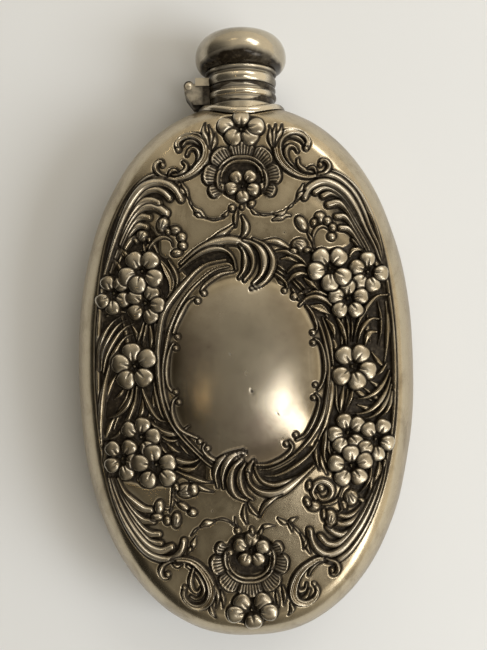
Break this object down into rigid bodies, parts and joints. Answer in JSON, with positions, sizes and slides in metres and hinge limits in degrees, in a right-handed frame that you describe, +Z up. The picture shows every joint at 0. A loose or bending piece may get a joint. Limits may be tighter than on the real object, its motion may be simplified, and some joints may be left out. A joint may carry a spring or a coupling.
{
  "type": "hip flask",
  "caption": "Oval pocket hip flask lying on its back: embossed front shell, plain back shell, short neck, swivel collar and a hinged bayonet cap with a hollow knob.",
  "frame": {"origin": "on the resting plane under the back shell's flat, below the middle of the overall length and width", "axes": "+Y along the neck, from the bottom of the body to the knob; +Z up through the decorated front; +X to the right with the hinge on the -X side"},
  "size_m": [0.077, 0.1386, 0.0244],
  "materials": {
    "relief_silver": "die-struck relief, polished high spots, dark oxide in the recesses",
    "plain_silver": "plain sheet, aged polish with fine scratches",
    "bright_silver": "drawn wire beads, bright polish with dark edges",
    "cap_silver": "spun hollow knob, bright polish with a warm tarnish",
    "inner_silver": "unpolished inside and hidden rings, satin",
    "pin_silver": "riveted pin, worn satin",
    "cork": "natural cork, matt"
  },
  "bodies": {
    "flask": {"front_shell": "relief_silver", "back_shell": "plain_silver", "neck_tube": "inner_silver", "mouth_ring": "inner_silver", "neck_foot": "plain_silver", "neck_foot_bead": "bright_silver", "neck_bayonet_lugs": "inner_silver", "collar_retaining_ring": "inner_silver"},
    "collar": {"swivel_collar": "plain_silver", "collar_bead": "bright_silver", "lower_hinge_leaf": "plain_silver", "hinge_pin": "pin_silver"},
    "cap": {"cap_ferrule": "plain_silver", "cap_bead_ring": "bright_silver", "cap_trim_ring": "bright_silver", "knob_upper": "cap_silver", "knob_lower": "cap_silver", "cork_backing_plate": "inner_silver", "cork_seal": "cork", "cap_bayonet_lugs": "inner_silver", "upper_hinge_leaf": "plain_silver"}
  },
  "joints": [
    {"name": "collar_swivel", "type": "hinge", "parent": "flask", "child": "collar", "pos_m": [0, 0.0534, 0.011], "axis": [0, 1, 0], "range_deg": [0, 90]},
    {"name": "cap_hinge", "type": "hinge", "parent": "collar", "child": "cap", "pos_m": [-0.0119, 0.05565, 0.011], "axis": [0, 0, 1], "range_deg": [0, 115]}
  ]
}
